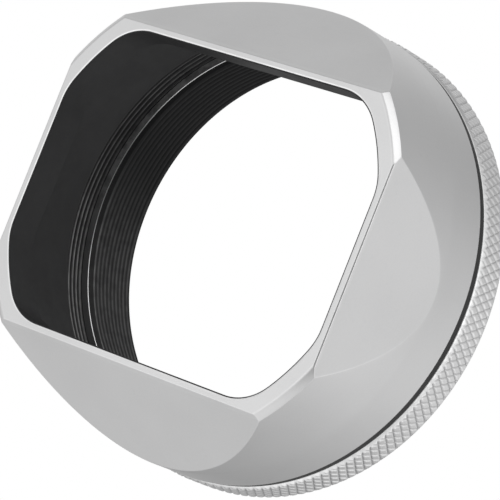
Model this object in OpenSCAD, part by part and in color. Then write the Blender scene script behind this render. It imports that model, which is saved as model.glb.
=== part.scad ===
// Rectangular screw-in lens hood.
// Four turned and milled pieces on one optical axis:
//   mount_tube   black inner tube, female filter thread in its bore, male thread outside
//   hood_shell   silver shell, rectangular at the front and round at the rear
//   slip_washer  thin black washer between the shell and the lock ring
//   lock_ring    silver ring that jams against the washer and the shell
//
// Frame: the optical axis is Y, the front opening looks towards -Y, +Z is up.
// The origin is on the optical axis, in the rear end face of the mount tube,
// where that face seats against the lens.
//
// Threads are drawn as plain cylinders: a female filter thread at its minor
// diameter, and the outer thread at its pitch diameter. The knurl is left plain.

/* [Filter thread on the lens] */
// Nominal diameter of the female filter thread in the tube's bore, mm
lens_thread_d = 49; // [43:0.5:49]
// Pitch of every thread on the hood, mm
thread_pitch = 0.75; // [0.5:0.25:1]

/* [Outer thread between tube, shell and ring] */
// Nominal diameter of the outer thread, mm
body_thread_d = 52; // [51:0.5:52]
// Radial clearance between the outer thread and what turns on it, mm
thread_clearance = 0.05; // [0.02:0.01:0.1]

/* [Hood shell] */
// Diameter of the round rear part of the shell, mm
shell_d = 56; // [55.5:0.1:58]
// Length of the shell along the axis, mm
shell_len = 17.4; // [16:0.2:20]
// Width across the left and right flats at the front face, mm
front_w = 48.8; // [46:0.2:50]
// Height across the top and bottom flats at the front face, mm
front_h = 37.7; // [34:0.1:40]
// Slope of the left and right flats against the axis, degrees
side_slope = 17.5; // [12:0.5:20]
// Slope of the top and bottom flats against the axis, degrees
top_slope = 39.6; // [36:0.2:41]
// Radius of the round corners of the front face, mm
face_corner_r = 27.0; // [26.4:0.1:27.4]
// Axial depth of the bevel round the front corners, mm
bevel_depth = 0.6; // [0.3:0.1:1]
// Radius of the shell just behind the corner bevel, mm
shoulder_r = 27.73; // [27.5:0.01:27.9]
// Length of the straight round part at the rear, mm
straight_len = 6.0; // [5:0.5:7]

/* [Front opening] */
// Width of the front opening, mm
open_w = 46.8; // [44:0.1:47.6]
// Height of the front opening, mm
open_h = 36.0; // [32:0.1:36.8]
// Radius of the circle that rounds the corners of the opening, mm
open_corner_r = 25.0; // [24.5:0.1:25.4]
// Blend radius between that circle and the straight sides, mm
open_blend_r = 6.5; // [3:0.5:8]
// Depth of the straight walls of the opening, mm
open_depth = 4.4; // [3:0.1:5]
// Wall between the inner and outer flats behind the opening, mm
flat_wall = 1.0; // [0.8:0.1:1.4]
// Radius of the round cavity behind the opening, mm
cavity_r = 25.3; // [25.2:0.1:25.5]
// Length of the threaded part of the shell, from its rear face, mm
shell_thread_len = 5.6; // [4:0.2:6]

/* [Mount tube] */
// Length of the mount tube, mm
tube_len = 8.2; // [7.4:0.1:9]
// Chamfer at the front end of the tube's bore, mm
front_chamfer = 0.5; // [0.3:0.05:0.6]
// Lead-in chamfer at the rear end of the tube's bore, mm
bore_chamfer = 0.35; // [0.2:0.05:0.5]
// Chamfer at the ends of the outer thread, mm
thread_chamfer = 0.25; // [0.1:0.05:0.4]

/* [Lock ring and washer] */
// Outer diameter over the knurl, mm
ring_d = 56.5; // [56:0.1:58]
// Width of the lock ring along the axis, mm
ring_w = 4.45; // [3.5:0.05:5]
// Gap from the ring's rear face to the end of the tube, mm
ring_setback = 0.3; // [0.2:0.05:0.6]
// Axial width of the plain bevel at the ring's front edge, mm
ring_bevel = 0.45; // [0.3:0.05:0.6]
// Thickness of the slip washer, mm
washer_t = 0.95; // [0.5:0.05:1.2]
// Outer diameter of the slip washer, mm
washer_d = 55.8; // [55:0.1:56]

/* [Hidden] */
$fn = 96;

// Small edges and clearances
shell_rear_chamfer = 0.15;
seat_mouth_depth = 0.3;      // chamfer at the rear of the threaded seat
seat_mouth_flare = 0.4;      // radial growth of that 45 degree chamfer, past the rear face
ring_bevel_drop = 0.3;       // radial height of the ring's front bevel
ring_chamfer = 0.2;          // ring's rear edge and both ends of its bore
washer_bore_clearance = 0.15;

// Extra lengths that carry cutting solids past the surfaces they cut
overrun = 1;
open_overlap = 0.5;          // of the opening, back into the cavity
open_overrun = 1.5;          // of the opening, in front of the front face
wedge_depth = 80;            // wedges reach well past the shell on both sides

// Places along the axis, from the rear forwards
ring_back = -ring_setback;
ring_front = ring_back - ring_w;
shell_back = ring_front - washer_t;
tube_front = -tube_len;
shell_front = shell_back - shell_len;
cavity_front = shell_front + open_depth;
seat_front = shell_back - shell_thread_len;

// Radii, the first two from the metric thread form
lens_minor_r = (lens_thread_d - 1.0825 * thread_pitch) / 2;
body_pitch_r = (body_thread_d - 0.6495 * thread_pitch) / 2;
running_r = body_pitch_r + thread_clearance;
washer_bore_r = body_thread_d / 2 + washer_bore_clearance;
shell_r = shell_d / 2;
ring_r = ring_d / 2;

// A solid of revolution about Y: each point of the profile is [radius, y]
module turned(profile) {
    rotate([-90, 0, 0])
        rotate_extrude($fn = 96)
            polygon(profile);
}

// Space between two planes that mirror each other in X and spread to the rear:
// half_width at the front face, sloping away from the axis by the angle slope
module wedge(half_width, slope, y_front, y_rear) {
    x_front = half_width + tan(slope) * (y_front - shell_front);
    x_rear = half_width + tan(slope) * (y_rear - shell_front);
    linear_extrude(height = wedge_depth, center = true)
        polygon([[-x_front, y_front], [x_front, y_front], [x_rear, y_rear], [-x_rear, y_rear]]);
}

// Space between the four flats, each moved inwards by wall, square to the flat
module between_flats(wall, y_front, y_rear) {
    intersection() {
        wedge(front_w / 2 - wall / cos(side_slope), side_slope, y_front, y_rear);
        rotate([0, 90, 0])
            wedge(front_h / 2 - wall / cos(top_slope), top_slope, y_front, y_rear);
    }
}

// Points along an arc, leaving out the first and last skip points
function arc(centre, radius, start, end, steps, skip = 0) =
    [for (i = [skip:steps - skip])
        let(angle = start + (end - start) * i / steps)
        centre + radius * [cos(angle), sin(angle)]];

// Upper right quarter of the opening, from its right side round to its top:
// side blend, corner circle, top blend
function opening_quarter() =
    let(
        centre_r = open_corner_r - open_blend_r,
        side_x = open_w / 2 - open_blend_r,
        side_z = sqrt(pow(centre_r, 2) - pow(side_x, 2)),
        top_z = open_h / 2 - open_blend_r,
        top_x = sqrt(pow(centre_r, 2) - pow(top_z, 2)),
        side_angle = atan2(side_z, side_x),
        top_angle = atan2(top_z, top_x)
    )
    concat(
        arc([side_x, side_z], open_blend_r, 0, side_angle, steps = 4),
        arc([0, 0], open_corner_r, side_angle, top_angle, steps = 8, skip = 1),
        arc([top_x, top_z], open_blend_r, top_angle, 90, steps = 5)
    );

function reversed(points) = [for (i = [len(points) - 1:-1:0]) points[i]];

function signed(points, x_sign, z_sign) =
    [for (point = points) [x_sign * point[0], z_sign * point[1]]];

// Whole outline of the opening, as [x, z]
function opening_outline() =
    let(quarter = opening_quarter(), back = reversed(quarter))
    concat(quarter, signed(back, -1, 1), signed(quarter, -1, -1), signed(back, 1, -1));

module mount_tube() {
    color([0.08, 0.08, 0.085])
    turned([
        [lens_minor_r, tube_front + front_chamfer],
        [lens_minor_r + front_chamfer, tube_front],
        [body_pitch_r - thread_chamfer, tube_front],
        [body_pitch_r, tube_front + thread_chamfer],
        [body_pitch_r, -thread_chamfer],
        [body_pitch_r - thread_chamfer, 0],
        [lens_minor_r + bore_chamfer, 0],
        [lens_minor_r, -bore_chamfer]
    ]);
}

module shell_body() {
    intersection() {
        turned([
            [0, shell_back],
            [shell_r - shell_rear_chamfer, shell_back],
            [shell_r, shell_back - shell_rear_chamfer],
            [shell_r, shell_back - straight_len],
            [shoulder_r, shell_front + bevel_depth],
            [face_corner_r, shell_front],
            [0, shell_front]
        ]);
        between_flats(0, shell_front - overrun, shell_back + overrun);
    }
}

// Round cavity limited by inner flats parallel to the outer ones
module round_cavity() {
    intersection() {
        turned([
            [0, cavity_front],
            [cavity_r, cavity_front],
            [cavity_r, shell_back + 2 * overrun],
            [0, shell_back + 2 * overrun]
        ]);
        between_flats(flat_wall, cavity_front - overrun, shell_back + 3 * overrun);
    }
}

// Threaded seat for the tube
module thread_seat() {
    mouth_front = shell_back - seat_mouth_depth;
    mouth_r = running_r + seat_mouth_flare;
    turned([
        [0, seat_front],
        [running_r, seat_front],
        [running_r, mouth_front],
        [mouth_r, mouth_front + seat_mouth_flare],
        [mouth_r, shell_back + overrun],
        [0, shell_back + overrun]
    ]);
}

// Straight-walled front opening
module front_opening() {
    translate([0, cavity_front + open_overlap, 0])
        rotate([90, 0, 0])
            linear_extrude(height = open_overlap + open_depth + open_overrun)
                polygon(opening_outline());
}

module hood_shell() {
    color([0.72, 0.72, 0.73])
    difference() {
        shell_body();
        round_cavity();
        thread_seat();
        front_opening();
    }
}

module slip_washer() {
    color([0.05, 0.05, 0.05])
    turned([
        [washer_bore_r, shell_back],
        [washer_d / 2, shell_back],
        [washer_d / 2, ring_front],
        [washer_bore_r, ring_front]
    ]);
}

module lock_ring() {
    color([0.76, 0.76, 0.77])
    turned([
        [running_r + ring_chamfer, ring_front],
        [ring_r - ring_bevel_drop, ring_front],
        [ring_r, ring_front + ring_bevel],
        [ring_r, ring_back - ring_chamfer],
        [ring_r - ring_chamfer, ring_back],
        [running_r + ring_chamfer, ring_back],
        [running_r, ring_back - ring_chamfer],
        [running_r, ring_front + ring_chamfer]
    ]);
}

mount_tube();
hood_shell();
slip_washer();
lock_ring();
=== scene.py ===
"""Looks of a rectangular screw-in lens hood.

The axis is Y, with the front towards -Y and +Z up. Sizes are in millimetres
unless a comment says otherwise, and meshes are written in metres. The pieces,
from the front: hood shell, slip washer and lock ring, with the mount tube inside.
"""
import math

import bmesh
import bpy
import numpy as np
from mathutils import Matrix, Vector


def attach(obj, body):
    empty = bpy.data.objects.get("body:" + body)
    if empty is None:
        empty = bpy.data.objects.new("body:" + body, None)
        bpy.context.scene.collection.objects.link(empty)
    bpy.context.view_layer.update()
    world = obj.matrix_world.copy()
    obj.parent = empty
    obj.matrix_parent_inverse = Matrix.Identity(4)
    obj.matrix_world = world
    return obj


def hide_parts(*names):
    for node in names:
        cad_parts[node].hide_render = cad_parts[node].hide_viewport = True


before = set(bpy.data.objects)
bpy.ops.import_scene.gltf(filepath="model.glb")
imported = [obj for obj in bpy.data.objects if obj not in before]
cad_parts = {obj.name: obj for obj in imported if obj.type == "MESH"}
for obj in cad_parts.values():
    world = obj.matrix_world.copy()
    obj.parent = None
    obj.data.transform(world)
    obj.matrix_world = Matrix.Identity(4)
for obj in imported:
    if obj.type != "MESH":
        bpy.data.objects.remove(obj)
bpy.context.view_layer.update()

MM = 0.001

# ---------------------------------------------------------------- main sizes
# Places along Y. The tube's rear face is at 0.
TUBE_FRONT = -8.2
RING_REAR, RING_FRONT = -0.3, -4.75
SHELL_REAR, SHELL_FRONT = -5.7, -23.1

# The shell is a round body cut by four sloping flats.
SIDE_ANGLE, TOP_ANGLE = math.radians(17.5), math.radians(39.6)
SIDE_SLOPE, TOP_SLOPE = math.tan(SIDE_ANGLE), math.tan(TOP_ANGLE)
WALL = 1.0
OUTER_HALF = (24.4, 18.85)  # half width and half height at the front
INNER_HALF = (OUTER_HALF[0] - WALL / math.cos(SIDE_ANGLE),
              OUTER_HALF[1] - WALL / math.cos(TOP_ANGLE))
CREASE_BLEND = 0.016  # softness of the creases between the flats and the round
CREASE_WEAR = 0.045   # reach of the wear beside a crease
MIN_BAND = 0.8        # width the columns of a flat keep behind its end

FACE_RADIUS = 27.0
BEVEL_DEPTH, BEVEL_RISE = 0.6, 0.73  # corner bevel, along Y and across
BODY_RADIUS = [  # y, radius of the round body
    (SHELL_FRONT, FACE_RADIUS),
    (SHELL_FRONT + BEVEL_DEPTH, FACE_RADIUS + BEVEL_RISE),
    (SHELL_REAR - 6.0, 28.0),
    (SHELL_REAR, 28.0),
]

OPEN_HALF = (23.4, 18.0)
OPEN_RADIUS = 25.0  # the large circle that the opening's corners lie on
OPEN_BLEND = 6.5    # radius between that circle and the straight sides
OPEN_DEPTH = 4.4
CAVITY_RADIUS = 25.3

RUN_RADIUS = 25.806  # crests of the lock ring's thread
PITCH = 0.75
LENS_MINOR, LENS_MAJOR = 24.094, 24.50

# Mesh steps over a quarter outline: side flat, round corner, top flat.
SIDE_STEPS, CORNER_STEPS, TOP_STEPS = 17, 52, 21


# ---------------------------------------------------------------- outlines
def spread(length, steps, crease_first, crease_last):
    """steps + 1 places from 0 to length, crowded near a crease at either end."""
    near = np.array([0.0, 0.03, 0.07, 0.13, 0.25]) * min(1.0, length / 1.4)
    first = near if crease_first else np.array([0.0])
    last = length - (near[::-1] if crease_last else np.array([0.0]))
    between = steps + 1 - len(first) - len(last)
    middle = np.linspace(first[-1], last[0], between + 2)[1:-1]
    return np.concatenate([first, middle, last])


def quarter_angles(side_end, top_start, radius):
    """Angles from +X to +Z, crowded at the two creases."""
    side = spread(side_end * radius, SIDE_STEPS, False, True) / radius
    corner = spread((top_start - side_end) * radius, CORNER_STEPS, True, True) / radius
    top = spread((math.pi / 2 - top_start) * radius, TOP_STEPS, True, False) / radius
    return np.concatenate([side, side_end + corner[1:], top_start + top[1:]])


def mirrored(quarter):
    """A quarter (0 to 90 degrees) of values or points mirrored into the closed outline."""
    signs = (1, 1, 1) if quarter.ndim == 1 else ([-1, 1], [-1, -1], [1, -1])
    return np.concatenate([quarter, quarter[-2::-1] * signs[0], quarter[1:] * signs[1],
                           quarter[-2:0:-1] * signs[2]])


def soft_min(values, blend):
    low = values.min(axis=0)
    return low - blend * np.log(np.exp(-(values - low) / blend).sum(axis=0))


def flats_outline(half_width, half_height, radius):
    """Circle cut by four flats, and how near each point is to a crease."""
    side_end = max(math.acos(min(1.0, half_width / radius)), MIN_BAND / radius)
    top_span = max(math.acos(min(1.0, half_height / radius)), MIN_BAND / radius)
    around = quarter_angles(side_end, math.pi / 2 - top_span, radius)
    cos, sin = np.maximum(np.cos(around), 1e-6), np.maximum(np.sin(around), 1e-6)
    reach = np.array([half_width / cos, np.full_like(cos, radius), half_height / sin])
    blended = soft_min(reach, CREASE_BLEND)
    nearest = np.sort(reach, axis=0)
    wear = np.exp(-(nearest[1] - nearest[0]) / CREASE_WEAR)
    quarter = circle(around, blended)
    quarter[0, 1] = 0.0
    quarter[-1, 0] = 0.0
    return mirrored(quarter), mirrored(wear)


def sloped_outline(front_half, y, radius, grow=(0.0, 0.0)):
    depth = y - SHELL_FRONT
    return flats_outline(front_half[0] + SIDE_SLOPE * depth + grow[0],
                         front_half[1] + TOP_SLOPE * depth + grow[1], radius)


def outer_outline(y, inset=0.0):
    radius = float(np.interp(y, *zip(*BODY_RADIUS)))
    return sloped_outline(OUTER_HALF, y, radius - inset, (-inset, -inset))


def cavity_outline(y, grow=0.0):
    return sloped_outline(INNER_HALF, y, CAVITY_RADIUS + grow, (grow, grow))


def opening_outline(grow=0.0):
    """Straight sides, corners on one large circle, blended where they meet."""
    half_width, half_height = OPEN_HALF[0] + grow, OPEN_HALF[1] + grow
    large, blend = OPEN_RADIUS + grow, OPEN_BLEND + grow
    side_end = math.sqrt((large - blend) ** 2 - (half_width - blend) ** 2)
    top_end = math.sqrt((large - blend) ** 2 - (half_height - blend) ** 2)
    angle_1 = math.atan2(side_end, half_width - blend)
    angle_2 = math.atan2(half_height - blend, top_end)
    length_1, length_2 = blend * angle_1, large * (angle_2 - angle_1)
    length_3 = blend * (math.pi / 2 - angle_2)

    def on_arc(x, z, radius, angle):
        return x + radius * math.cos(angle), z + radius * math.sin(angle)

    corner = []
    for along in np.linspace(0, length_1 + length_2 + length_3, CORNER_STEPS + 1):
        if along <= length_1:
            point = on_arc(half_width - blend, side_end, blend, along / blend)
        elif along <= length_1 + length_2:
            point = on_arc(0.0, 0.0, large, angle_1 + (along - length_1) / large)
        else:
            point = on_arc(top_end, half_height - blend, blend,
                           angle_2 + (along - length_1 - length_2) / blend)
        corner.append(point)
    side = np.stack([np.full(SIDE_STEPS, half_width),
                     np.linspace(0, side_end, SIDE_STEPS + 1)[:-1]], axis=1)
    top = np.stack([np.linspace(top_end, 0, TOP_STEPS + 1)[1:],
                    np.full(TOP_STEPS, half_height)], axis=1)
    return mirrored(np.concatenate([side, np.array(corner), top]))


def even_angles(count):
    return np.arange(count) * 2 * math.pi / count


def circle(around, radius):
    """Points (x, z) at the angles around; radius may vary from point to point."""
    radius = np.broadcast_to(radius, around.shape)
    return np.stack([radius * np.cos(around), radius * np.sin(around)], axis=1)


def smooth(value):
    value = np.clip(value, 0, 1)
    return value * value * (3 - 2 * value)


def thread(y, around, crest, root, phase, land=0.26, flank=0.30):
    """Radius of a right-hand thread and how deep in the groove it is, 0 to 1.
    land and flank are parts of a pitch: the flat crest and one sloping side."""
    turn = np.mod((y + PITCH * around / (2 * math.pi)) / PITCH + phase, 1.0)
    from_crest = np.abs(turn - 0.5)
    depth = np.clip((from_crest - land / 2) / flank, 0, 1)
    depth = smooth(depth) * 0.35 + depth * 0.65
    return crest + (root - crest) * depth, depth


def lower_half_light(around):
    """1 round the lower half, fading to 0 above. It weights painted light: on the lower half of
    the bore and the thread crests, and, turned round, on the top of the tube's front face.
    """
    return smooth((0.26 - np.sin(around)) / 0.68)


# ---------------------------------------------------------------- meshes
class Skin:
    """Rows of points that run round the axis, sewn into one closed skin.
    A row's material is that of the band between it and the next row."""

    def __init__(self, around=None):
        self.around = around  # angles of the rows made by add_circle
        self.rows, self.wear, self.groove, self.material = [], [], [], []

    def add(self, y, outline, material=0, wear=0.0, groove=0.0):
        count = len(outline)
        self.rows.append(np.stack([outline[:, 0], np.full(count, y), outline[:, 1]], axis=1))
        self.wear.append(np.full(count, wear, dtype=float))
        self.groove.append(np.full(count, groove, dtype=float))
        self.material.append(material)

    def add_circle(self, y, radius, material=0, wear=0.0, groove=0.0):
        self.add(y, circle(self.around, radius), material, wear, groove)

    def bands(self):
        """Faces of each band: quads, or many-sided faces from a fine row to a coarse one."""
        sizes = [len(row) for row in self.rows]
        starts = np.cumsum([0] + sizes).tolist()
        bands = []
        for i, here in enumerate(sizes):
            k = (i + 1) % len(sizes)
            there = sizes[k]
            count = min(here, there)
            ratio = max(here, there) // count
            band = []
            for j in range(count):
                after = (j + 1) % count
                if here >= there:
                    rim = [starts[i] + (j * ratio + t) % here for t in range(ratio + 1)]
                    band.append(rim + [starts[k] + after, starts[k] + j])
                else:
                    rim = [starts[k] + (j * ratio + t) % there for t in range(ratio, -1, -1)]
                    band.append([starts[i] + j, starts[i] + after] + rim)
            bands.append(band)
        return bands


def build(name, skin, materials, bands=None, sharp_degrees=40.0):
    bands = bands or skin.bands()
    faces = [face for band in bands for face in band]
    indices = np.repeat(skin.material, [len(band) for band in bands])
    mesh = bpy.data.meshes.new(name)
    mesh.from_pydata((np.concatenate(skin.rows) * MM).tolist(), [], faces)
    mesh.update()
    bm = bmesh.new()
    bm.from_mesh(mesh)
    if bm.calc_volume(signed=True) < 0:
        bmesh.ops.reverse_faces(bm, faces=bm.faces[:])
    bm.to_mesh(mesh)
    bm.free()
    mesh.polygons.foreach_set("material_index", indices.astype(np.int32))
    mesh.polygons.foreach_set("use_smooth", np.ones(len(mesh.polygons), dtype=bool))
    # per-point lightening (edge wear and painted light), and the groove depth that sets the
    # knurl's painted shade
    for key, values in (("wear", skin.wear), ("groove_shade", skin.groove)):
        attribute = mesh.attributes.new(key, "FLOAT", "POINT")
        attribute.data.foreach_set("value", np.concatenate(values).astype(np.float32))
    mesh.set_sharp_from_angle(angle=math.radians(sharp_degrees))
    for material in materials:
        mesh.materials.append(material)
    mesh.update()
    made = bpy.data.objects.new(name, mesh)
    bpy.context.scene.collection.objects.link(made)
    weighted = made.modifiers.new("weighted", "WEIGHTED_NORMAL")
    weighted.keep_sharp = True
    weighted.weight = 80
    return made


# ---------------------------------------------------------------- materials
WHITE = (1.0, 1.0, 1.0)


class Nodes:
    """Short calls that add shader nodes to one tree. An input may be a value or a socket."""

    def __init__(self, tree):
        tree.nodes.clear()
        self.tree = tree

    def feed(self, socket, value):
        if isinstance(value, bpy.types.NodeSocket):
            self.tree.links.new(value, socket)
        elif value is not None:
            socket.default_value = value

    def node(self, kind, inputs=None, **settings):
        made = self.tree.nodes.new(kind)
        for key, value in settings.items():
            setattr(made, key, value)
        for key, value in (inputs or {}).items():
            self.feed(made.inputs[key], value)
        return made

    def place(self, output="Object"):
        return self.node("ShaderNodeTexCoord").outputs[output]

    def noise(self, place, scale, detail=3.0, rough=0.55):
        return self.node("ShaderNodeTexNoise", {
            "Scale": scale, "Detail": detail, "Roughness": rough, "Vector": place,
        }).outputs["Fac"]

    def remap(self, value, span, to=(0.0, 1.0), **settings):
        return self.node("ShaderNodeMapRange", {
            "From Min": span[0], "From Max": span[1], "To Min": to[0], "To Max": to[1],
            "Value": value}, **settings).outputs["Result"]

    def maths(self, operation, first, second=None):
        inputs = {0: first, 1: second}
        return self.node("ShaderNodeMath", inputs, operation=operation).outputs[0]

    def times(self, first, second):
        return self.maths("MULTIPLY", first, second)

    def mix(self, factor, first, second):
        made = self.node("ShaderNodeMix", {"Factor": factor}, data_type="RGBA",
                         clamp_factor=True)
        sockets = [socket for socket in made.inputs if socket.type == "RGBA"]
        for socket, colour in zip(sockets, (first, second)):
            self.feed(socket, (*colour, 1.0) if isinstance(colour, tuple) else colour)
        return [socket for socket in made.outputs if socket.type == "RGBA"][0]

    def attribute(self, name):
        return self.node("ShaderNodeAttribute", attribute_name=name).outputs["Fac"]

    def wear_and_light_mask(self, patches, span, least, gain):
        """Per-point lightening, edge wear together with painted light on the black bore, thread
        crests and tube face, broken up by noise.
        """
        wear = self.attribute("wear")
        patch = self.remap(patches, span, to=(least, 1.0))
        return self.times(self.times(wear, patch), gain)

    def bump(self, height, strength, distance, normal=None):
        """distance is in metres."""
        return self.node("ShaderNodeBump", {
            "Strength": strength, "Distance": distance, "Height": height, "Normal": normal,
        }).outputs["Normal"]

    def grain(self, place, layers):
        """Bumps laid over each other; a layer is scale, strength and distance."""
        normal = None
        for scale, strength, distance in layers:
            height = self.noise(place, scale, detail=2.0)
            normal = self.bump(height, strength, distance, normal)
        return normal

    def lathe_rings(self, place, density, fine):
        """Fine rings left by the lathe, with a light grain over them."""
        split = self.node("ShaderNodeSeparateXYZ", {0: place}).outputs
        x_squared = self.times(split["X"], split["X"])
        z_squared = self.times(split["Z"], split["Z"])
        radius = self.maths("SQRT", self.maths("ADD", x_squared, z_squared))
        along = self.maths("ADD", radius, split["Y"])
        wave = self.maths("SINE", self.times(along, density))
        rings = self.bump(wave, strength=0.12, distance=0.00001)
        return self.bump(fine, strength=0.10, distance=0.00002, normal=rings)


def new_material(name):
    material = bpy.data.materials.new(name)
    material.use_nodes = True
    nodes = Nodes(material.node_tree)
    output = nodes.node("ShaderNodeOutputMaterial")
    surface = nodes.node("ShaderNodeBsdfPrincipled")
    nodes.feed(output.inputs[0], surface.outputs[0])
    return material, nodes, surface


def dress(nodes, surface, **inputs):
    """Sets inputs of the surface; an underscore stands for a space."""
    for key, value in inputs.items():
        nodes.feed(surface.inputs[key.replace("_", " ")], value)


def scaled(tone, factor):
    return tuple(part * factor for part in tone)


def metal(name, tone, rough, wear_and_light_gain, groove=0.0, groove_shade_tone=None):
    """Bead-blasted, clear anodised aluminium."""
    material, nodes, surface = new_material(name)
    place = nodes.place()
    fine = nodes.noise(place, scale=5200.0, detail=2.0, rough=0.6)
    middle = nodes.noise(place, scale=900.0)
    broad = nodes.noise(place, scale=60.0, detail=2.0)
    blotch = nodes.remap(broad, span=(0.35, 0.65))
    colour = nodes.mix(blotch, scaled(tone, 0.965), scaled(tone, 1.02))
    speck = nodes.remap(fine, span=(0.30, 0.70))
    colour = nodes.mix(nodes.times(speck, 0.09), colour, WHITE)
    dust = nodes.remap(middle, span=(0.60, 0.78), to=(0.0, 0.10))
    colour = nodes.mix(dust, colour, scaled(tone, 0.8))
    edge = nodes.wear_and_light_mask(middle, span=(0.35, 0.60), least=0.35, gain=wear_and_light_gain)
    colour = nodes.mix(edge, colour, WHITE)
    # painted shade: the knurl's grooves are darkened towards a grey by their depth
    if groove:
        shade = nodes.times(nodes.attribute("groove_shade"), groove)
        colour = nodes.mix(shade, colour, groove_shade_tone)
    uneven = nodes.remap(middle, span=(0.3, 0.7), to=(rough - 0.012, rough + 0.018))
    polish = nodes.times(edge, -0.10)  # worn edges are smoother
    dress(nodes, surface, Base_Color=colour, Metallic=1.0,
          Roughness=nodes.maths("ADD", uneven, polish),
          Normal=nodes.grain(place, [(5500.0, 0.22, 0.00002), (1500.0, 0.05, 0.00004)]))
    return material


def black(name, tone, rough, specular, wear_and_light_tone, wear_and_light_gain, turned=0.0, speck=0.05, patchy=0.4):
    """Matte black anodised surface, lighter at worn edges and under painted light laid on
    through the same per-point lightening.
    """
    material, nodes, surface = new_material(name)
    place = nodes.place()
    fine = nodes.noise(place, scale=4500.0, detail=2.0, rough=0.6)
    middle = nodes.noise(place, scale=800.0)
    broad = nodes.noise(place, scale=90.0, detail=2.0)
    blotch = nodes.remap(broad, span=(0.35, 0.65))
    colour = nodes.mix(blotch, scaled(tone, 0.88), scaled(tone, 1.12))
    specks = nodes.remap(fine, span=(0.35, 0.75), to=(0.0, speck))
    colour = nodes.mix(specks, colour, scaled(tone, 3.2))
    # lightening from edge wear and, on the bore, thread crests and tube face, painted light
    edge = nodes.wear_and_light_mask(middle, span=(0.38, 0.60), least=1.0 - patchy, gain=wear_and_light_gain)
    colour = nodes.mix(edge, colour, wear_and_light_tone)
    uneven = nodes.remap(middle, span=(0.3, 0.7), to=(rough - 0.04, rough + 0.05))
    if turned:
        normal = nodes.lathe_rings(place, turned, fine)
    else:
        normal = nodes.grain(place, [(5200.0, 0.12, 0.00002), (1200.0, 0.06, 0.00004)])
    dress(nodes, surface, Base_Color=colour, Roughness=uneven, Metallic=0.0,
          Specular_IOR_Level=specular, Normal=normal)
    return material


SILVER = metal("satin_silver", tone=(0.78, 0.78, 0.783), rough=0.33, wear_and_light_gain=0.8)
# the knurl's grooves get a painted shade, darker the deeper they are
KNURL = metal("knurled_silver", tone=(0.84, 0.84, 0.843), rough=0.33, wear_and_light_gain=0.8,
              groove=0.66, groove_shade_tone=(0.37, 0.37, 0.375))
# the lightening tones of these blacks carry painted light on the thread crests, bore and tube
# face, besides edge wear
INNER = black("matte_black_inside", tone=(0.0285, 0.0285, 0.0293), rough=0.50, specular=0.22,
              wear_and_light_tone=(0.42, 0.42, 0.42), wear_and_light_gain=0.7)
TUBE = black("matte_black_tube", tone=(0.0180, 0.0180, 0.0186), rough=0.58, specular=0.10,
             wear_and_light_tone=(0.26, 0.26, 0.26), wear_and_light_gain=0.7, speck=0.10)
# a black about four times lighter than the tube's own, for the tube's front face
FACE_BLACK = black("tube_face_black", tone=(0.085, 0.085, 0.086), rough=0.50, specular=0.35,
                   wear_and_light_tone=(0.33, 0.33, 0.33), wear_and_light_gain=0.7, turned=20000.0, patchy=0.7)
WASHER = black("black_washer", tone=(0.022, 0.022, 0.022), rough=0.48, specular=0.34,
               wear_and_light_tone=(0.06, 0.06, 0.06), wear_and_light_gain=0.5, turned=30000.0)
BARE = metal("bare_edge", tone=(0.90, 0.90, 0.905), rough=0.30, wear_and_light_gain=0.2)


# ---------------------------------------------------------------- hood shell
SHELL_SILVER, SHELL_BLACK = 0, 1  # material slots

REAR_ROUND = 0.10
OUTSIDE_Y = np.r_[  # places, and runs as start:stop:step, closest near y = -12
    SHELL_REAR - 0.12, SHELL_REAR - 0.2, SHELL_REAR - 0.6,
    SHELL_REAR - 1.2:-11.2:-0.7, -11.25:-12.85:-0.06, -12.95:-14.0:-0.15,
    -14.2:-22.1:-0.45, -22.2, -22.3, -22.38]
CAVITY_Y = np.r_[
    -18.68, -18.6, -18.4, -18.1, -17.8, -17.5, -17.3:-16.4:0.08,
    -16.2:-14.3:0.3, -14.2:-13.1:0.08, -12.9:-11.5:0.3]

BEVEL_CROWN = 0.010  # bulge of the bevel's cone
BEVEL_ROLL = 0.58    # radius that rolls over into the front face
SIDE_ROUND, TOP_ROUND = 0.205, 0.05  # rounding of the flats' front edges

LIP = [  # growth of the opening, depth behind the front, material, wear
    (0.31, 0.0, SHELL_SILVER, 0.5), (0.28, 0.003, SHELL_SILVER, 0.9),
    (0.22, 0.012, SHELL_SILVER, 1.0), (0.155, 0.024, SHELL_BLACK, 0.0),
    (0.10, 0.034, SHELL_BLACK, 0.0), (0.05, 0.046, SHELL_BLACK, 0.0),
    (0.03, 0.055, SHELL_BLACK, 0.0), (0.012, 0.072, SHELL_BLACK, 0.0),
    (0.0, 0.10, SHELL_BLACK, 0.0),
]
OPENING_DEPTHS = (0.3, 0.6, 1.2, 2.0, 2.8, 3.6, 4.1, 4.3, OPEN_DEPTH - 0.04)

SHELL_THREAD_START = -11.32
SHELL_THREAD_ROWS = 120
SHELL_THREAD_ROOT = 25.92


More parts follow.
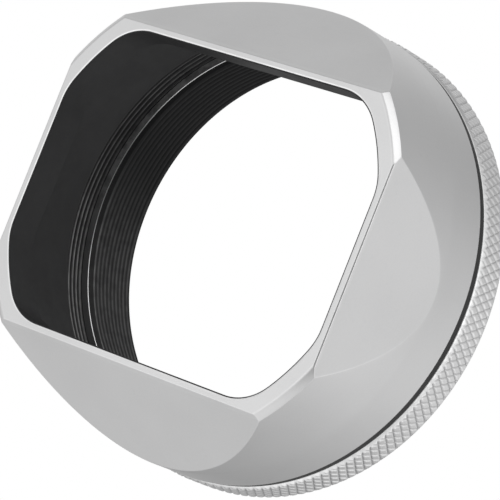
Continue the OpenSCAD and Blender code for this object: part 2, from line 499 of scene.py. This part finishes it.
def bevel_stations():
    """(radius, y) down a slightly crowned cone and round the roll into the front face."""
    rise, depth = BEVEL_RISE, BEVEL_DEPTH
    length = math.hypot(depth, rise)
    roll_angle = math.pi / 2 - math.atan2(rise, depth)
    lead = BEVEL_ROLL * math.tan(roll_angle / 2)
    top = FACE_RADIUS + rise
    stations = [(27.732, SHELL_FRONT + 0.66), (27.731, SHELL_FRONT + 0.625)]
    for part in (0.0, 0.03, 0.08, 0.16, 0.26, 0.38, 0.5, 0.62, 0.74, 0.86, 0.95):
        down = part * (length - lead)
        bulge = 4 * BEVEL_CROWN * part * (1 - part)
        stations.append((top - rise / length * down + depth / length * bulge,
                         SHELL_FRONT + depth - depth / length * down - rise / length * bulge))
    for part in (1.0, 0.85, 0.7, 0.56, 0.43, 0.31, 0.2, 0.1, 0.03, 0.0):
        angle = part * roll_angle
        stations.append((FACE_RADIUS - lead + BEVEL_ROLL * math.sin(angle),
                         SHELL_FRONT + BEVEL_ROLL * (1 - math.cos(angle))))
    return stations


def edge_fall(radius, depth):
    """How far a rounded front edge lies inside its flat at this depth."""
    return radius - math.sqrt(radius ** 2 - (radius - depth) ** 2) if depth < radius else 0.0


def add_shell_outside(skin):
    """Rounded rear edge, body and corner bevel. Returns the front face's outline."""
    for degrees in (0, 18, 36, 54, 72, 90):
        angle = math.radians(degrees)
        outline, _ = outer_outline(SHELL_REAR - REAR_ROUND, REAR_ROUND * (1 - math.sin(angle)))
        skin.add(SHELL_REAR - REAR_ROUND * (1 - math.cos(angle)), outline, SHELL_SILVER,
                 wear=1.0 if degrees else 0.3)
    for y in OUTSIDE_Y:
        outline, crease = outer_outline(y)
        skin.add(y, outline, SHELL_SILVER, wear=crease * 0.15)
    for radius, y in bevel_stations():
        depth = y - SHELL_FRONT
        falls = (-edge_fall(SIDE_ROUND, depth), -edge_fall(TOP_ROUND, depth))
        outline, crease = sloped_outline(OUTER_HALF, y, radius, falls)
        skin.add(y, outline, SHELL_SILVER, wear=crease * 0.3 if depth > 0.5 else 0.15)
    return outline


def add_shell_front(skin, outer):
    """Front face, lip, straight walls of the opening and the step behind them."""
    inner = opening_outline(0.34)
    for part in (0.05, 0.25, 0.5, 0.75, 0.97):
        skin.add(SHELL_FRONT, outer * (1 - part) + inner * part, SHELL_SILVER)
    # a bare lip that falls away a little, then black like the inside
    for grow, depth, material, wear in LIP:
        skin.add(SHELL_FRONT + depth, opening_outline(grow), material, wear)
    for depth in OPENING_DEPTHS:
        skin.add(SHELL_FRONT + depth, opening_outline(), SHELL_BLACK)
    step_y = SHELL_FRONT + OPEN_DEPTH
    skin.add(step_y, opening_outline(0.04), SHELL_BLACK)
    inner, outer = opening_outline(0.06), cavity_outline(step_y, -0.02)[0]
    for part in (0.02, 0.5, 0.98):
        skin.add(step_y, inner * (1 - part) + outer * part, SHELL_BLACK)


def add_shell_thread(skin):
    """Thread: full turns ahead of the tube, cut back where the tube sits."""
    around = skin.around
    skin.add_circle(-11.40, CAVITY_RADIUS, SHELL_BLACK, wear=0.03)
    skin.add_circle(-11.36, CAVITY_RADIUS + 0.02, SHELL_BLACK, wear=0.05)
    for i in range(SHELL_THREAD_ROWS):
        y = SHELL_THREAD_START + i * PITCH / 16
        crest = 25.52 if y < TUBE_FRONT - 0.03 else RUN_RADIUS + 0.02
        fade = smooth((y - SHELL_THREAD_START) / 0.35)  # the thread grows out of the cavity
        radius, depth = thread(y, around, crest, SHELL_THREAD_ROOT, phase=0.29)
        radius = CAVITY_RADIUS + (crest - CAVITY_RADIUS) * fade + (radius - crest) * fade
        bright = np.exp(-(depth / 0.12) ** 2) * fade
        if TUBE_FRONT - 0.40 < y < TUBE_FRONT - 0.03:  # a plain land beside the tube's end
            radius = np.minimum(radius, 25.545)
            # painted light: the land is lightened to lift the shade between the last crest and
            # the tube's end
            bright = np.maximum(bright, 0.5)
        if y > SHELL_REAR - 0.35:  # rear chamfer
            radius = np.maximum(radius, RUN_RADIUS + (y - (SHELL_REAR - 0.3)))
        # lightening of the crests: partly wear, partly a painted highlight, strongest round the
        # lower half
        wear = 0.07 * fade + bright * (0.22 + 0.78 * lower_half_light(around))
        skin.add_circle(y, radius, SHELL_BLACK, wear * (1.0 if y < TUBE_FRONT else 0.1))


def make_shell():
    skin = Skin()
    front = add_shell_outside(skin)
    add_shell_front(skin, front)
    for y in CAVITY_Y:
        outline, crease = cavity_outline(y)
        skin.add(y, outline, SHELL_BLACK, wear=crease * 0.02)
    # the round rows behind keep the angles of the cavity's last row
    around = np.arctan2(outline[:, 1], outline[:, 0])
    skin.around = np.where(around < -1e-9, around + 2 * math.pi, around)
    add_shell_thread(skin)
    skin.add_circle(SHELL_REAR, RUN_RADIUS + 0.30, SHELL_BLACK)
    for radius in (RUN_RADIUS + 0.33, 26.9, 27.80):
        skin.add_circle(SHELL_REAR, radius, SHELL_SILVER)
    return build("hood_shell_skin", skin, [SILVER, INNER])


# ---------------------------------------------------------------- mount tube
TUBE_BLACK, TUBE_EDGE, TUBE_FACE = 0, 1, 2  # material slots
BORE_FRONT = LENS_MINOR + 0.5  # bore radius at the front, before its chamfer
BORE_STEP, OUTSIDE_STEP = PITCH / 16, PITCH / 12


def add_tube_bore(skin):
    """Bore with its thread, from front to rear."""
    around = skin.around
    skin.add_circle(TUBE_FRONT + 0.010, BORE_FRONT + 0.005, TUBE_EDGE, wear=0.6)
    skin.add_circle(TUBE_FRONT + 0.035, BORE_FRONT - 0.030, TUBE_BLACK, wear=0.5)
    for i in range(2, int(-TUBE_FRONT / BORE_STEP) - 1):
        y = TUBE_FRONT + i * BORE_STEP
        cut, depth = thread(y, around, LENS_MINOR, LENS_MAJOR - 0.32, phase=0.1,
                            land=0.30, flank=0.34)
        front_cone = BORE_FRONT - (y - TUBE_FRONT)
        rear_cone = LENS_MINOR + 0.35 + y
        radius = np.maximum(cut, max(front_cone, rear_cone))
        crest = np.exp(-(depth / 0.15) ** 2) * (radius <= cut + 1e-6)
        # painted light: the lower half of the bore is lightened, its crests most, for the light
        # that falls there; a little crest wear and the bright chamfer edge go all round
        crest_wear_and_light = crest * 0.38 + 0.23
        if y < TUBE_FRONT + 1.0:
            crest_wear_and_light = crest_wear_and_light + 0.5 * crest
        lead = 0.0  # nearness to the chamfer's inner edge
        if y < TUBE_FRONT + 0.7:
            lead = np.exp(-((front_cone - cut) / 0.03) ** 2)
        wear = crest * 0.03 + (crest_wear_and_light + 0.6 * lead) * lower_half_light(around) + 0.15 * lead
        skin.add_circle(y, radius, TUBE_BLACK, wear)
    skin.add_circle(-0.02, LENS_MAJOR - 0.02, TUBE_BLACK, wear=0.4)
    skin.add_circle(0.0, LENS_MAJOR + 0.01, TUBE_BLACK, wear=0.4)


def add_tube_outside(skin):
    """Outer thread, from rear to front."""
    for i in range(1, int(-TUBE_FRONT / OUTSIDE_STEP)):
        y = -i * OUTSIDE_STEP
        radius, depth = thread(y, skin.around, crest=25.756, root=25.42, phase=0.4)
        radius = np.minimum(radius, min(25.506 - y, 25.54 + (y - TUBE_FRONT)))  # end cones
        skin.add_circle(y, radius, TUBE_BLACK, wear=np.exp(-(depth / 0.2) ** 2) * 0.3)
    skin.add_circle(TUBE_FRONT + 0.025, 25.53, TUBE_BLACK, wear=0.2)


def make_tube():
    skin = Skin(even_angles(288))
    add_tube_bore(skin)
    # rear face, the seat against the lens
    for radius in (24.62, 24.8, 25.2, 25.42):
        skin.add_circle(0.0, radius, TUBE_BLACK)
    skin.add_circle(0.0, 25.49, TUBE_BLACK, wear=0.5)
    skin.add_circle(-0.03, 25.52, TUBE_BLACK, wear=0.5)
    add_tube_outside(skin)
    # front face, with painted light round the top
    top_light = 0.9 * (1 - lower_half_light(skin.around))
    for radius in (25.505, 25.45, 25.3, 25.0, 24.8, 24.68):
        skin.add_circle(TUBE_FRONT, radius, TUBE_FACE, top_light)
    skin.add_circle(TUBE_FRONT, 24.66, TUBE_EDGE, wear=0.3)
    skin.add_circle(TUBE_FRONT, BORE_FRONT + 0.02, TUBE_EDGE, wear=0.6)
    return build("mount_tube_skin", skin, [TUBE, BARE, FACE_BLACK])


# ---------------------------------------------------------------- slip washer
def make_washer():
    """Flat ring with rounded edges between the shell and the lock ring."""
    skin = Skin(even_angles(256))
    inner, outer, front, rear = 26.15, 27.9, SHELL_REAR, RING_FRONT
    edge = 0.10
    # centre radius and y of each rounded edge, its first angle, and the (y, radius)
    # of the rows on the straight side that follows
    corners = [
        (inner + edge, front + edge, 270, [(front + 0.3, inner), (front + 0.65, inner)]),
        (inner + edge, rear - edge, 180,
         [(rear, inner + 0.4), (rear, inner + 0.9), (rear, outer - 0.4)]),
        (outer - edge, rear - edge, 90, [(rear - 0.3, outer), (rear - 0.65, outer)]),
        (outer - edge, front + edge, 0,
         [(front, outer - 0.4), (front, inner + 0.9), (front, inner + 0.4)]),
    ]
    for centre, centre_y, first, side in corners:
        for turn in (0, -22.5, -45, -67.5, -90):
            angle = math.radians(first + turn)
            skin.add_circle(centre_y + edge * math.sin(angle), centre + edge * math.cos(angle),
                            wear=0.5 if turn == -45 else 0.0)
        for y, radius in side:
            skin.add_circle(y, radius)
    return build("slip_washer_skin", skin, [WASHER])


# ---------------------------------------------------------------- lock ring
RING_RADIUS = 28.245
KNURLS = 154      # diamonds round the ring
KNURL_STEPS = 12  # mesh steps per knurl pitch
KNURL_LENGTH = 2 * math.pi * RING_RADIUS / KNURLS / math.tan(math.radians(30))
# Depth of a groove by mesh steps from its middle. One set is cut deeper.
DEEP_CUT = np.array([0.17, 0.09, 0.025, 0.0, 0.0, 0.0, 0.0])
LIGHT_CUT = np.array([0.12, 0.06, 0.015, 0.0, 0.0, 0.0, 0.0])


def steps_to_groove(step):
    return np.minimum(step % KNURL_STEPS, -step % KNURL_STEPS)


def add_knurl(skin):
    """Adds the knurled rows from front to rear and returns how many there are."""
    row_step = KNURL_LENGTH / KNURL_STEPS
    first_y = RING_FRONT + 0.02
    count = int((RING_REAR - 0.01 - first_y) / row_step) + 1
    i = np.arange(KNURLS * KNURL_STEPS)
    for k in range(count):
        y = first_y + k * row_step
        profile = min(RING_RADIUS, RING_RADIUS - 0.30 + 0.30 * (y - RING_FRONT) / 0.50,
                      RING_RADIUS - 0.2 + (RING_REAR - y))
        to_deep, to_light = steps_to_groove(i + k), steps_to_groove(i - k)
        cut = np.maximum(DEEP_CUT[to_deep], LIGHT_CUT[to_light])
        radius = np.minimum(RING_RADIUS - cut, profile)
        # depth in the groove, which sets the painted shade in the knurl's grooves
        groove = np.clip((profile - radius) / 0.17, 0, 1) ** 1.4
        beside = (np.minimum(to_deep, to_light) == 3) * (profile > RING_RADIUS - 0.08)
        bright = 0.9 if y < RING_FRONT + 0.42 else 0.0
        skin.add_circle(y, radius, wear=np.maximum(beside * 0.5, bright * (cut == 0)),
                        groove=groove)
    return count


def split_quads(band, k):
    """Splits a band's quads along the groove they lie nearest, for clean diamonds."""
    faces = []
    for j, (a, b, c, d) in enumerate(band):
        if steps_to_groove(j + k + 1) <= steps_to_groove(j - k):
            faces += [[a, b, d], [b, c, d]]
        else:
            faces += [[a, b, c], [a, c, d]]
    return faces


def make_ring():
    fine = KNURLS * KNURL_STEPS
    skin = Skin(even_angles(fine))
    skin.add_circle(RING_FRONT, RING_RADIUS - 0.31, wear=0.2)
    knurl_rows = add_knurl(skin)
    skin.add_circle(RING_REAR, RING_RADIUS - 0.2, wear=0.2)
    # rear face, bore with its thread, front face
    skin.around = even_angles(fine // 6)
    for radius in (RING_RADIUS - 0.45, 27.0, 26.3, RUN_RADIUS + 0.24):
        skin.add_circle(RING_REAR, radius)
    for j in range(int((RING_REAR - RING_FRONT) / (PITCH / 12))):
        y = RING_REAR - 0.02 - j * PITCH / 12
        radius, _ = thread(y, skin.around, RUN_RADIUS, root=26.06, phase=0.4)
        chamfer = RUN_RADIUS + 0.2 + max(y - RING_REAR, RING_FRONT - y)
        skin.add_circle(y, np.maximum(radius, chamfer))
    for radius in (RUN_RADIUS + 0.24, 26.3, 27.0, RING_RADIUS - 0.5):
        skin.add_circle(RING_FRONT, radius)
    bands = skin.bands()
    for k in range(knurl_rows - 1):
        bands[k + 1] = split_quads(bands[k + 1], k)
    return build("lock_ring_skin", skin, [KNURL], bands, sharp_degrees=60.0)


PIECES = [  # maker, CAD piece it replaces, what it rides, slot
    (make_shell, "hood_shell", "shell", "silver_anodised"),
    (make_tube, "mount_tube", "tube", "black_anodised"),
    (make_washer, "slip_washer", "washer", "black_washer"),
    (make_ring, "lock_ring", "ring", "silver_knurl"),
]
for make, replaced, rider, slot in PIECES:
    piece = make()
    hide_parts(replaced)
    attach(piece, rider)


# ---------------------------------------------------------------- floor
FLOOR_Z, FLOOR_RADIUS = -0.12, 1.4  # metres
FLOOR_RINGS, FLOOR_SPOKES = 12, 96


def floor_material():
    material, nodes, surface = new_material("pale_paper")
    cloud = nodes.noise(nodes.place(), scale=30.0, detail=4.0)
    colour = nodes.mix(nodes.remap(cloud, span=(0.3, 0.7)),
                       (0.93, 0.93, 0.93), (0.96, 0.96, 0.96))
    dress(nodes, surface, Base_Color=colour, Roughness=0.8, Specular_IOR_Level=0.2,
          Emission_Color=(1, 1, 1, 1),
          Emission_Strength=0.22)  # the tent's light from behind the paper
    return material


def make_floor():
    mesh = bpy.data.meshes.new("pale_floor")
    bm = bmesh.new()
    bmesh.ops.create_circle(bm, cap_ends=True, segments=FLOOR_SPOKES,
                            radius=FLOOR_RADIUS / FLOOR_RINGS)
    rim = list(bm.edges)
    for k in range(2, FLOOR_RINGS + 1):
        new = bmesh.ops.extrude_edge_only(bm, edges=rim)["geom"]
        for part in new:
            if isinstance(part, bmesh.types.BMVert):
                part.co.xy = part.co.xy.normalized() * FLOOR_RADIUS * k / FLOOR_RINGS
        rim = [part for part in new if isinstance(part, bmesh.types.BMEdge)]
    for vertex in bm.verts:
        vertex.co.z = FLOOR_Z
    bm.to_mesh(mesh)
    bm.free()
    floor = bpy.data.objects.new("pale_floor", mesh)
    bpy.context.scene.collection.objects.link(floor)
    mesh.materials.append(floor_material())
    # the tent's light reaches the object from below as well
    floor.visible_glossy = False
    floor.visible_diffuse = False
    floor.visible_shadow = False
    return floor


make_floor()

# ---------------------------------------------------------------- light and camera
CAMERA_PLACE = Vector((225.2154, -301.2316, -23.8317)) * MM
CAMERA_RIGHT = Vector((0.7496817, 0.5499421, 0.3681589))
CAMERA_DOWN = Vector((0.2568819, 0.2708718, -0.9277069))
CAMERA_AHEAD = Vector((-0.609909, 0.7900583, 0.0617975))

# Soft light tent: an even base with soft boxes round the object.
TENT_BASE = 0.244
BOXES = [  # direction it stands in, how narrow it is, strength
    ((1, 0, 0), 8, 0.328), ((-1, 0, 0), 8, 0.388), ((0, -1, 0), 8, 0.378),
    ((0, 0, -1), 8, 0.698), ((-1, -1, -1), 8, 0.540), ((-1, -1, 1), 8, 0.105),
    ((-1, 1, 1), 8, 0.490), ((1, 1, -1), 8, 0.282), ((1, 1, 1), 8, 0.185),
    ((-1, -1, 0), 8, 0.119), ((0, -1, -1), 8, 0.337), ((-1, 0, -1), 8, 0.230),
    ((-1, 1, 0), 8, 0.150), ((0, -1, 1), 8, 0.368), ((-1, 0, 1), 8, 0.081),
    ((1, -1, 0), 8, 3.214), ((0, 1, -1), 8, 0.145), ((1, 0, -1), 8, 0.295),
    ((1, 1, 0), 8, 0.330), ((0, 1, 1), 8, 0.091), ((1, 0, 1), 8, 0.429),
    ((0.35, -0.67, -0.66), 24, 0.234), ((0.84, 0.48, -0.25), 24, 0.150),
    ((-0.61, -0.75, -0.25), 40, 0.546), ((-0.35, -0.93, 0.05), 40, 0.651),
    ((-0.80, -0.60, 0.05), 40, 0.094), ((-0.59, -0.73, 0.34), 40, 0.351),
    ((0.69, 0.41, -0.59), 24, 0.500), ((0.10, 0.99, -0.10), 24, 0.500),
]


def make_world():
    world = bpy.data.worlds.new("light_tent")
    bpy.context.scene.world = world
    world.use_nodes = True
    nodes = Nodes(world.node_tree)
    output = nodes.node("ShaderNodeOutputWorld")
    sky = nodes.place("Generated")

    def facing(direction):
        return nodes.node("ShaderNodeVectorMath", {0: sky, 1: direction},
                          operation="DOT_PRODUCT").outputs["Value"]

    total = nodes.maths("ADD", TENT_BASE, 0.0)
    for direction, narrowness, strength in BOXES:
        toward = nodes.maths("MAXIMUM", facing(Vector(direction).normalized()), 0.0)
        lobe = nodes.maths("POWER", toward, narrowness)
        total = nodes.maths("ADD", total, nodes.times(lobe, strength))
    # the camera stands in the tent's opening, which is darker
    port = nodes.remap(facing(-CAMERA_AHEAD), span=(0.80, 0.93), to=(1.0, 0.04),
                       interpolation_type="SMOOTHSTEP")
    total = nodes.times(total, port)
    # the camera itself sees plain white
    lit, seen = (nodes.node("ShaderNodeBackground", {"Strength": strength,
                                                     "Color": (1, 1, 1, 1)})
                 for strength in (total, 1.0))
    path = nodes.node("ShaderNodeLightPath")
    pick = nodes.node("ShaderNodeMixShader", {
        0: path.outputs["Is Camera Ray"], 1: lit.outputs[0], 2: seen.outputs[0]})
    nodes.feed(output.inputs[0], pick.outputs[0])


def make_key():
    """Square soft box above and in front of the hood, aimed at the origin; metres."""
    place = Vector((0.27, -0.54, 0.666))
    light = bpy.data.lights.new("key", "AREA")
    light.shape = "RECTANGLE"
    light.size = light.size_y = 0.5
    light.energy = 0.60
    key = bpy.data.objects.new("key", light)
    key.location = place
    key.rotation_mode = "QUATERNION"
    key.rotation_quaternion = (-place).to_track_quat("-Z", "Y")
    key.visible_camera = False
    bpy.context.scene.collection.objects.link(key)


def make_camera():
    lens = bpy.data.cameras.new("camera")
    camera = bpy.data.objects.new("camera", lens)
    bpy.context.scene.collection.objects.link(camera)
    lens.sensor_width = 36.0
    lens.lens = 229.817
    lens.clip_start = 0.01
    lens.clip_end = 20.0
    turn = Matrix((CAMERA_RIGHT, -CAMERA_DOWN, -CAMERA_AHEAD)).transposed().to_4x4()
    camera.matrix_world = Matrix.Translation(CAMERA_PLACE) @ turn
    bpy.context.scene.camera = camera


make_world()
make_key()
make_camera()

bpy.context.scene.view_settings.view_transform = "Standard"
bpy.context.scene.view_settings.look = "None"
